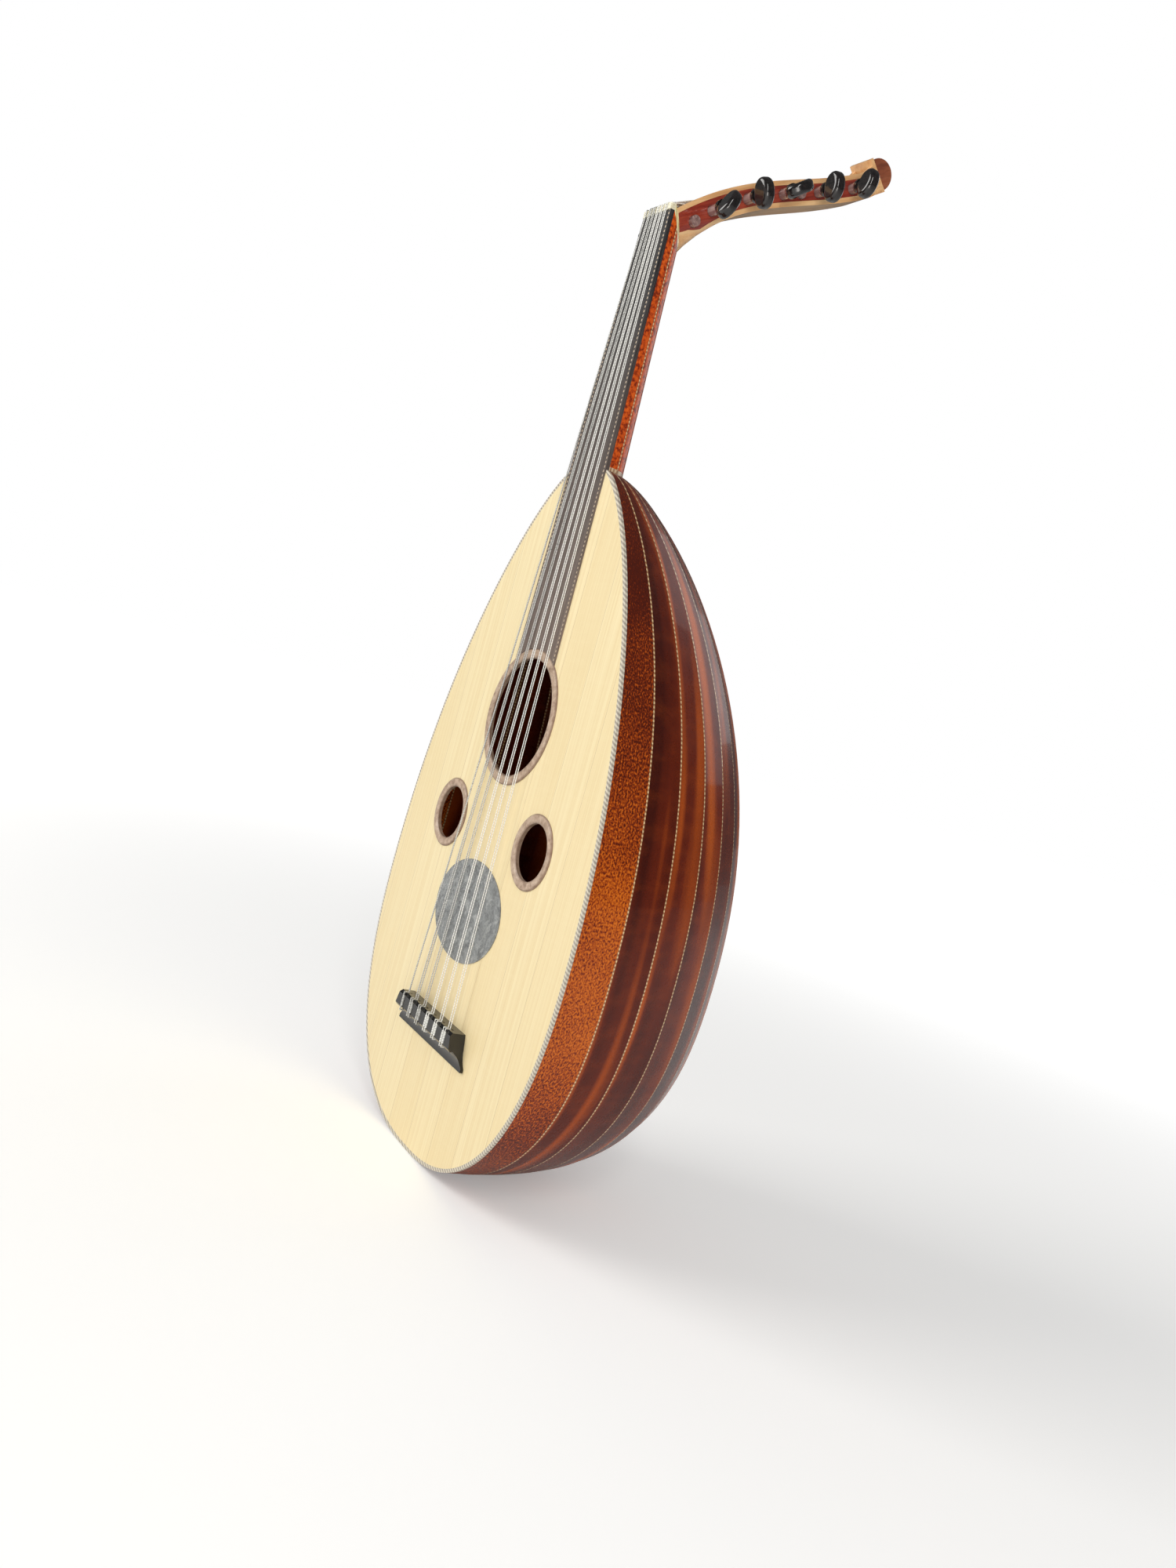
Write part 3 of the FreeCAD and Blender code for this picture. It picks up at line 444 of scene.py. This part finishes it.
def make_spruce(name, light, honey, dark):
    material, tree, shader, place = start_material(name, 0.25, 0.25)
    split = add(tree, "ShaderNodeSeparateXYZ", {0: place})
    wander = add(tree, "ShaderNodeTexNoise", {"Vector": add(
        tree, "ShaderNodeMapping", {"Vector": place, "Scale": (9.0, 1.0, 3.0)}).outputs[0],
        "Scale": 1.0, "Detail": 1.0})
    sideways = sum_up(tree, "ADD", split.outputs["X"], sum_up(tree, "MULTIPLY", wander.outputs["Fac"], 0.006))
    strip = sum_up(tree, "DIVIDE", sum_up(tree, "ADD", split.outputs["X"], 0.5), STRIP_WIDTH)
    number = sum_up(tree, "FLOOR", strip)
    own = add(tree, "ShaderNodeTexWhiteNoise", {"W": number}, noise_dimensions="1D").outputs["Value"]
    moved = add(tree, "ShaderNodeCombineXYZ", {
        0: sum_up(tree, "MULTIPLY", sideways, RINGS_PER_METRE), 1: own,
        2: sum_up(tree, "MULTIPLY", split.outputs["Z"], 5.0)}).outputs[0]
    rings = add(tree, "ShaderNodeTexNoise", {"Vector": moved, "Scale": 1.0, "Detail": 3.0}).outputs["Fac"]
    silk = add(tree, "ShaderNodeTexNoise", {"Vector": add(
        tree, "ShaderNodeMapping", {"Vector": place, "Scale": (40.0, 1.0, 300.0)}).outputs[0],
        "Scale": 1.0, "Detail": 2.0}).outputs["Fac"]
    base = mix(tree, spread(tree, rings, 0.35, 0.72, 0.0, 0.55), light, honey)
    base = mix(tree, spread(tree, own, 0.0, 1.0, 0.0, 0.3), base, honey)
    base = mix(tree, spread(tree, silk, 0.5, 0.75, 0.0, 0.16), base, light)
    edge = sum_up(tree, "FRACT", strip)
    joint = sum_up(tree, "LESS_THAN", edge, JOINT_SHARE)
    base = mix(tree, sum_up(tree, "MULTIPLY", joint, 0.45), base, dark)
    lay_on(tree, shader, base, place, (0.42, 0.56), rings, 0.00004)
    return material


spruce = make_spruce("spruce", tone(250, 234, 190), tone(232, 205, 148), tone(176, 140, 92))
print(spruce.name)

# %% [markdown]
# **Plain woods.** The other woods differ only in colours and in how fine and how straight their
# grain is, so they share one helper: a blackened wood for the bridge, maple for the pegbox edges,
# mahogany for its sides, a brown one for the finial, and two bare pale ones for the blocks and
# braces inside.

# %% Plain woods
bridge_black = lacquered_wood(
    "bridge black", ((0.35, tone(8, 8, 8)), (0.65, tone(18, 16, 15)), (0.85, tone(34, 29, 26))),
    (700.0, 700.0, 20.0), (0.2, 0.3), 0.3, ACROSS, 0.3, 0.02)
maple = lacquered_wood(
    "maple", ((0.3, tone(214, 150, 92)), (0.5, tone(240, 188, 130)), (0.72, tone(250, 214, 162))),
    (260.0, 260.0, 12.0), (0.3, 0.42), 0.8, PEGBOX, 0.2)
mahogany = lacquered_wood(
    "mahogany", ((0.32, tone(104, 28, 18)), (0.5, tone(150, 48, 30)), (0.7, tone(186, 78, 48))),
    (420.0, 420.0, 16.0), (0.28, 0.4), 1.0, PEGBOX, 0.5)
finial_wood = lacquered_wood(
    "finial wood", ((0.3, tone(92, 40, 24)), (0.5, tone(150, 80, 50)), (0.72, tone(182, 112, 76))),
    (120.0, 120.0, 30.0), (0.3, 0.42), 0.7, PEGBOX, 0.35)
block_wood = lacquered_wood(
    "block wood", ((0.3, tone(168, 128, 84)), (0.5, tone(196, 158, 110)), (0.72, tone(214, 182, 136))),
    (300.0, 300.0, 12.0), (0.6, 0.75), 0.0)
brace_wood = lacquered_wood(
    "brace wood", ((0.3, tone(206, 176, 124)), (0.5, tone(226, 200, 150)), (0.72, tone(238, 218, 174))),
    (300.0, 300.0, 12.0), (0.55, 0.7), 0.0, ACROSS)
print("6 plain woods")

# %% [markdown]
# **Twisted lines.** The lines between the ribs, the rope round the soundboard and the trim of the
# collar and the joint band are all a light wood with a darker one laid across it in turn.

# %% Twisted lines
def twisted_line(name, light, dark, slant, coat=0.8, polish=(0.3, 0.42)):
    material, tree, shader, place = start_material(name, coat)
    strand = use_group(tree, twist, {"Place": place, "Slant": slant})["Strand"]
    fleck = add(tree, "ShaderNodeTexNoise", {"Vector": place, "Scale": 900.0, "Detail": 2.0}).outputs["Fac"]
    colour = mix(tree, strand, light, dark)
    worn = mix(tree, spread(tree, fleck, 0.4, 0.7, 0.0, 0.35), colour, light)
    lay_on(tree, shader, worn, place, polish, strand, 0.0001)
    return material


light_line = twisted_line("light line", tone(232, 200, 150), tone(150, 96, 56), (60.0, 60.0, 380.0))
rope_line = twisted_line("rope line", tone(222, 214, 196), tone(160, 150, 138), (160.0, 160.0, 360.0),
                         0.3, (0.4, 0.55))
collar_line = twisted_line("collar line", tone(246, 236, 186), tone(206, 178, 110), (500.0, 500.0, 130.0),
                           0.6)
band_line = twisted_line("band line", tone(222, 196, 160), tone(160, 118, 86), (420.0, 420.0, 0.0), 0.6)
print("4 twisted lines")

# %% [markdown]
# **Sound hole rings.** A ring is turned from a taupe wood. Its tone changes slowly round the ring
# and a darker line runs along both of its edges, so its pattern is laid out by the distance from
# the middle of the hole.

# %% Ring wood
def ring_wood(name, node, lip):
    low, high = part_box(node)
    centre = (low + high) / 2
    outer = (high.x - low.x) / 2
    material, tree, shader, place = start_material(name, 0.2, 0.2)
    moved = add(tree, "ShaderNodeVectorMath", {0: place, 1: centre}, operation="SUBTRACT").outputs[0]
    flat = add(tree, "ShaderNodeVectorMath", {0: moved, 1: (1.0, 0.0, 1.0)}, operation="MULTIPLY").outputs[0]
    distance = add(tree, "ShaderNodeVectorMath", {0: flat}, operation="LENGTH").outputs["Value"]
    wood = use_group(tree, grain, {"Place": place, "Per metre": (260.0, 260.0, 260.0)})
    colour = ramp(tree, wood["Fibres"], (
        (0.32, tone(150, 122, 102)), (0.5, tone(184, 158, 136)), (0.7, tone(208, 186, 164))))
    out_edge = spread(tree, distance, outer - 0.0011, outer - 0.0004, 0.0, 0.6)
    in_edge = spread(tree, distance, outer - lip + 0.0004, outer - lip + 0.0012, 0.5, 0.0)
    edges = sum_up(tree, "MAXIMUM", out_edge, in_edge)
    colour = mix(tree, edges, colour, tone(112, 84, 68))
    lay_on(tree, shader, colour, place, (0.4, 0.55), wood["Fibres"], 0.00003)
    return material


RING_WIDTHS = {"main_hole_ring": 0.007, "small_ring_bass": 0.0065, "small_ring_treble": 0.0065}
ring_woods = {node: ring_wood(node.replace("_", " "), node, width) for node, width in RING_WIDTHS.items()}
print(len(ring_woods), "ring woods")

# %% [markdown]
# ** Pegs.** A peg is a dark wood with its head blackened and polished. Its shaft is painted a greyish rose,
# partly the chalk rubbed on pegs and partly a painted sheen, the light that its polish reflects. How far a
# place is from the middle plane says where the black begins. The pegbox narrows towards its tip, so the black
# begins nearer the middle there.

# %% Peg wood
HEAD_AT_ROOT = 0.0285
HEAD_PER_METRE = -0.066
HEAD_BLEND = 0.0012


def make_peg_wood(name):
    material, tree, shader, place = start_material(name, 0.8, 0.05)
    turned = add(tree, "ShaderNodeMapping", {"Vector": place, "Rotation": ACROSS}).outputs[0]
    wood = use_group(tree, grain, {"Place": turned, "Per metre": (500.0, 500.0, 30.0)})
    black = ramp(tree, wood["Fibres"], (
        (0.35, tone(18, 16, 16)), (0.6, tone(34, 29, 29)), (0.8, tone(58, 46, 42))))
    # The shaft's light greyish rose: partly peg chalk, partly a painted sheen of reflected light.
    chalk_and_sheen = ramp(tree, wood["Fibres"], (
        (0.35, tone(118, 90, 86)), (0.55, tone(158, 128, 122)), (0.75, tone(188, 164, 158))))
    split = add(tree, "ShaderNodeSeparateXYZ", {0: place})
    starts = sum_up(tree, "ADD", sum_up(tree, "MULTIPLY", split.outputs["Y"], HEAD_PER_METRE), HEAD_AT_ROOT)
    past = sum_up(tree, "SUBTRACT", sum_up(tree, "ABSOLUTE", split.outputs["X"]), starts)
    share = spread(tree, past, 0.0, HEAD_BLEND, 0.0, 1.0)
    lay_on(tree, shader, mix(tree, share, chalk_and_sheen, black), place, (0.12, 0.26), wood["Fibres"], 0.00002)
    return material


peg_black = make_peg_wood("peg wood")
print(peg_black.name)

# %% [markdown]
# **Pickguard.** The guard below the strings is a thin sheet with a marbled grey cloud in it, like
# shell or horn. Noise that bends another noise gives the swirls.

# %% Marbled sheet
def make_marble(name):
    material, tree, shader, place = start_material(name, 0.6, 0.08)
    bent = add(tree, "ShaderNodeTexNoise", {"Vector": place, "Scale": 60.0, "Detail": 3.0})
    swirl = add(tree, "ShaderNodeVectorMath", {0: bent.outputs["Color"], 1: (0.05, 0.05, 0.05)},
                operation="MULTIPLY")
    moved = add(tree, "ShaderNodeVectorMath", {0: place, 1: swirl.outputs[0]}, operation="ADD").outputs[0]
    cloud = add(tree, "ShaderNodeTexNoise",
                {"Vector": moved, "Scale": 110.0, "Detail": 6.0, "Roughness": 0.65}).outputs["Fac"]
    colour = ramp(tree, cloud, (
        (0.34, tone(88, 90, 91)), (0.5, tone(124, 127, 127)), (0.68, tone(166, 168, 166))))
    lay_on(tree, shader, colour, place, (0.2, 0.34), cloud, 0.00001)
    return material


marble = make_marble("marbled sheet")
print(marble.name)

# %% [markdown]
# **Neck.** The neck is built up from strips. Beside the fingerboard lies a bright mottled strip,
# and past the light line the back is the dark wood of the ribs. The angle round the neck says
# which of the two a place belongs to.

# %% Neck wood
NECK_SPLIT = math.radians(66)


def make_neck_wood(name):
    material, tree, shader, place = start_material(name, 0.35, 0.06, 0.2)
    split = add(tree, "ShaderNodeSeparateXYZ", {0: place})
    side = sum_up(tree, "ABSOLUTE", split.outputs["X"])
    round_neck = sum_up(tree, "ARCTAN2", split.outputs["Y"], side)
    flecks = add(tree, "ShaderNodeTexNoise", {"Vector": place, "Scale": 360.0, "Detail": 3.0}).outputs["Fac"]
    bright = ramp(tree, flecks, (
        (0.38, tone(128, 40, 12)), (0.5, tone(200, 76, 16)), (0.62, tone(224, 98, 26))))
    wood = use_group(tree, grain, {"Place": place, "Per metre": (420.0, 420.0, 14.0)})
    dark = ramp(tree, wood["Fibres"], (
        (0.34, tone(60, 16, 10)), (0.5, tone(108, 36, 20)), (0.68, tone(146, 60, 32))))
    colour = mix(tree, sum_up(tree, "GREATER_THAN", round_neck, NECK_SPLIT), bright, dark)
    lay_on(tree, shader, colour, place, (0.26, 0.4), flecks, 0.00002)
    return material


neck_wood = make_neck_wood("neck wood")
print(neck_wood.name)

# %% [markdown]
# **Fingerboard.** Near the nut it is bare dark ebony, rubbed grey under the strings by years of
# playing. Its tongue on the soundboard is a browner wood. A dotted light line follows both edges.

# %% Fingerboard
TONGUE_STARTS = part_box("neck")[0].z
EDGE_LINE = (0.0012, 0.0024)        # how far in from the edge the dotted line begins and ends


def make_fingerboard_wood(name):
    low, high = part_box("fingerboard")
    nut_half = (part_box("nut")[1].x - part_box("nut")[0].x) / 2
    joint_half = (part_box("neck")[1].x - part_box("neck")[0].x) / 2
    end_half = (high.x - low.x) / 2
    material, tree, shader, place = start_material(name, 0.15, 0.2)
    split = add(tree, "ShaderNodeSeparateXYZ", {0: place})
    up = split.outputs["Z"]
    wood = use_group(tree, grain, {"Place": place, "Per metre": (800.0, 800.0, 14.0)})
    black = ramp(tree, wood["Fibres"], (
        (0.34, tone(34, 32, 33)), (0.55, tone(58, 55, 56)), (0.75, tone(84, 80, 80))))
    taupe = ramp(tree, wood["Fibres"], (
        (0.34, tone(98, 84, 76)), (0.55, tone(126, 110, 101)), (0.75, tone(150, 134, 123))))
    colour = mix(tree, spread(tree, up, low.z, high.z - 0.06, 1.0, 0.0), black, taupe)
    neck_edge = spread(tree, up, TONGUE_STARTS, high.z, joint_half, nut_half)
    tongue_edge = spread(tree, up, low.z, TONGUE_STARTS, end_half - joint_half, 0.0)
    inset = sum_up(tree, "SUBTRACT", sum_up(tree, "ADD", neck_edge, tongue_edge),
                   sum_up(tree, "ABSOLUTE", split.outputs["X"]))
    line = sum_up(tree, "MULTIPLY", sum_up(tree, "GREATER_THAN", inset, EDGE_LINE[0]),
                  sum_up(tree, "LESS_THAN", inset, EDGE_LINE[1]))
    dots = use_group(tree, twist, {"Place": place, "Slant": (0.0, 0.0, 320.0)})["Strand"]
    colour = mix(tree, sum_up(tree, "MULTIPLY", line, dots), colour, tone(206, 186, 160))
    lay_on(tree, shader, colour, place, (0.36, 0.52), wood["Fibres"], 0.00003)
    return material


fingerboard_wood = make_fingerboard_wood("fingerboard wood")
print(fingerboard_wood.name)

# %% [markdown]
# **Nut and strings.** The nut is bone. Bass strings are silk wound with silvered wire, whose turns
# catch the light one by one, and treble strings are clear nylon that looks white against dark wood.

# %% Bone, wire and nylon
def make_bone(name):
    material, tree, shader, place = start_material(name, 0.3, 0.1)
    cloud = add(tree, "ShaderNodeTexNoise", {"Vector": place, "Scale": 300.0, "Detail": 4.0}).outputs["Fac"]
    colour = ramp(tree, cloud, ((0.35, tone(224, 214, 178)), (0.6, tone(248, 243, 220))))
    lay_on(tree, shader, colour, place, (0.3, 0.45), cloud, 0.00002)
    return material


def make_string(name, light, dark, metal, turns_per_metre, depth, polish):
    material, tree, shader, place = start_material(name, 0.0)
    shader.inputs["Metallic"].default_value = metal
    slant = (0.0, -0.5 * turns_per_metre, turns_per_metre)
    turns = use_group(tree, twist, {"Place": place, "Slant": slant})["Strand"]
    lay_on(tree, shader, mix(tree, turns, light, dark), place, polish, turns, depth)
    return material


bone = make_bone("bone")
wound_wire = make_string("wound wire", tone(232, 232, 228), tone(160, 160, 155), 0.5, 900.0, 0.00008,
                         (0.25, 0.4))
nylon = make_string("nylon", tone(246, 246, 242), tone(222, 222, 216), 0.0, 500.0, 0.00002, (0.2, 0.35))
print("bone, wire and nylon")

# %% [markdown]
# Each CAD node now takes its finish. A node's mesh stays as it is: only its material slot changes.

# %% Finishes of the CAD nodes
PLAIN = {
    "rib_stringing": light_line, "end_clasp": rib_woods[0], "tail_block": block_wood,
    "neck_block": block_wood,
    "soundboard": spruce, "rope_binding": rope_line, "pickguard": marble, "soundboard_braces": brace_wood,
    "neck": neck_wood, "neck_stringing": light_line, "pegbox_collar": collar_line,
    "neck_joint_band": band_line,
    "fingerboard": fingerboard_wood, "nut": bone, "pegbox_cheek_bass": maple, "pegbox_cheek_treble": maple,
    "pegbox_side_panels": mahogany, "pegbox_back": maple, "finial": finial_wood, "finial_collar": maple,
    "bridge": bridge_black,
}
RIB_COUNT = len([name for name in nodes if name.startswith("bowl_rib_")])
WOUND_COURSES = 3


def finish_of(name):
    kind, _, last = name.rpartition("_")
    if kind == "bowl_rib":
        number = int(last)
        return edge_rib_wood if number in (1, RIB_COUNT) else rib_woods[number % len(rib_woods)]
    if kind == "strings_course":
        return wound_wire if int(last) <= WOUND_COURSES else nylon
    if name in ring_woods:
        return ring_woods[name]
    return PLAIN.get(name, peg_black)


for name, node in nodes.items():
    node.data.materials.clear()
    node.data.materials.append(finish_of(name))
print(len(nodes), "nodes finished")

# %% [markdown]
# **Windings.** Each string ends in a few turns round its peg. One turn is a small circle carried
# round the peg: the Screw modifier does that and moves it sideways by one string thickness a turn.
# Its two open ends are then closed, and it rides on its peg. The turns run outwards, away from the
# strings that go on to further pegs. The two outermost strings have the least room beside the cheeks,
# so they get two turns, and the thickest is wound the other way.

# %% String windings
PEG_RADIUS = 0.0038
STRING_RADII = (0.00055, 0.0005, 0.00044, 0.0004, 0.00036, 0.00032)
COURSE_SPAN_NUT = 0.0255
PAIR_GAP_NUT = 0.002
STRING_FAN = 0.62
BASS_PEGS = 6
FRONT_OF_PEG = math.radians(120.3)
FAN_RUN = 0.060
STRING_SIDES = 10
WINDING_TURNS = 3
TURNS_BY_THE_CHEEK = 2
WINDING_STEPS = 20
TURN_PITCH = 2.05       # string radii that one turn moves sideways
MERGE_WITHIN = 1e-6
SMOOTH_BELOW = math.radians(40)
joints = {joint["child"]: joint for joint in frame["joints"]}


def apply_modifier(piece, kind, **settings):
    modifier = piece.modifiers.new(kind, kind)
    for key, value in settings.items():
        setattr(modifier, key, value)
    bpy.ops.object.modifier_apply(modifier=modifier.name)


def settle(piece):
    bpy.ops.object.mode_set(mode="EDIT")
    bpy.ops.mesh.select_all(action="SELECT")
    bpy.ops.mesh.remove_doubles(threshold=MERGE_WITHIN)
    bpy.ops.mesh.fill_holes(sides=0)
    bpy.ops.mesh.select_all(action="SELECT")
    bpy.ops.mesh.normals_make_consistent(inside=False)
    bpy.ops.object.mode_set(mode="OBJECT")
    bpy.ops.object.transform_apply(location=True, rotation=True, scale=True)
    bpy.ops.object.shade_smooth_by_angle(angle=SMOOTH_BELOW)


def coil(name, place, rod, wire, turns, turned, side=1, steps=WINDING_STEPS):
    deselect_all()
    bpy.ops.mesh.primitive_circle_add(vertices=STRING_SIDES, radius=wire, location=place)
    piece = bpy.context.object
    piece.name = name
    bpy.ops.object.mode_set(mode="EDIT")
    bpy.ops.mesh.select_all(action="SELECT")
    bpy.ops.transform.translate(value=(0.0, rod + wire, 0.0))
    bpy.ops.object.mode_set(mode="OBJECT")
    apply_modifier(piece, "SCREW", axis="X", angle=2 * math.pi, iterations=turns, steps=steps,
                   render_steps=steps, screw_offset=TURN_PITCH * wire * side, use_merge_vertices=False)
    piece.rotation_euler = turned
    settle(piece)
    return piece


def string_rows():
    rows = []
    for course, wire in enumerate(STRING_RADII):
        for half in ((0.0,) if course == 0 else (-0.5, 0.5)):
            rows.append((course, (course / 5 - 0.5) * COURSE_SPAN_NUT + half * PAIR_GAP_NUT, wire))
    return rows


COLLAR = Vector((0.0, 0.0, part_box("nut")[1].z))
ROWS = string_rows()
for number, (course, at_nut, wire) in enumerate(ROWS):
    if number < BASS_PEGS:
        peg = "peg_bass_%d" % (number + 1)
    else:
        peg = "peg_treble_%d" % (len(ROWS) - number)
    axis = Vector(joints[peg]["pos_m"])
    closed_in = min(1.0, (axis - COLLAR).length / FAN_RUN)
    sideways = at_nut * (1.0 - (1.0 - STRING_FAN) * closed_in)
    outward = 1 if sideways > 0 else -1
    by_the_cheek = number in (0, len(ROWS) - 1)
    winding = coil("winding_%02d" % (number + 1), (sideways, axis[1], axis[2]), PEG_RADIUS, wire,
                   TURNS_BY_THE_CHEEK if by_the_cheek else WINDING_TURNS, (FRONT_OF_PEG, 0.0, 0.0),
                   -outward if number == 0 else outward)
    winding.data.materials.append(wound_wire if course < WOUND_COURSES else nylon)
    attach(winding, peg)
print(len(ROWS), "windings")

# %% [markdown]
# **Knots.** At the bridge a string comes back over the block and is twisted round itself, which
# stands up as a small bright hoop. The same coil makes it, with its axis along the string and its
# lower half let into the block.

# %% String knots
COURSE_SPAN_BRIDGE = 0.076
PAIR_GAP_BRIDGE = 0.0032
KNOT_TURNS = 9
KNOT_STEPS = 14
KNOT_WIRE = 0.00045
KNOT_ROD = 0.00025
KNOT_SINK = 0.00002
KNOT_ENDS = 0.0104      # how far below the front edge of the block a knot starts
bridge_low, bridge_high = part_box("bridge")

for number, (course, *_) in enumerate(ROWS):
    half = 0.0 if course == 0 else 0.5 - number % 2
    sideways = (course / 5 - 0.5) * COURSE_SPAN_BRIDGE + half * PAIR_GAP_BRIDGE
    top = Vector((sideways, bridge_low.y + KNOT_SINK, bridge_high.z - KNOT_ENDS))
    knot = coil("knot_%02d" % (number + 1), top, KNOT_ROD, KNOT_WIRE, KNOT_TURNS,
                (0.0, math.radians(-90), 0.0), steps=KNOT_STEPS)
    knot.data.materials.append(wound_wire if course < WOUND_COURSES else nylon)
    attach(knot, ROOT)
print(len(ROWS), "knots")
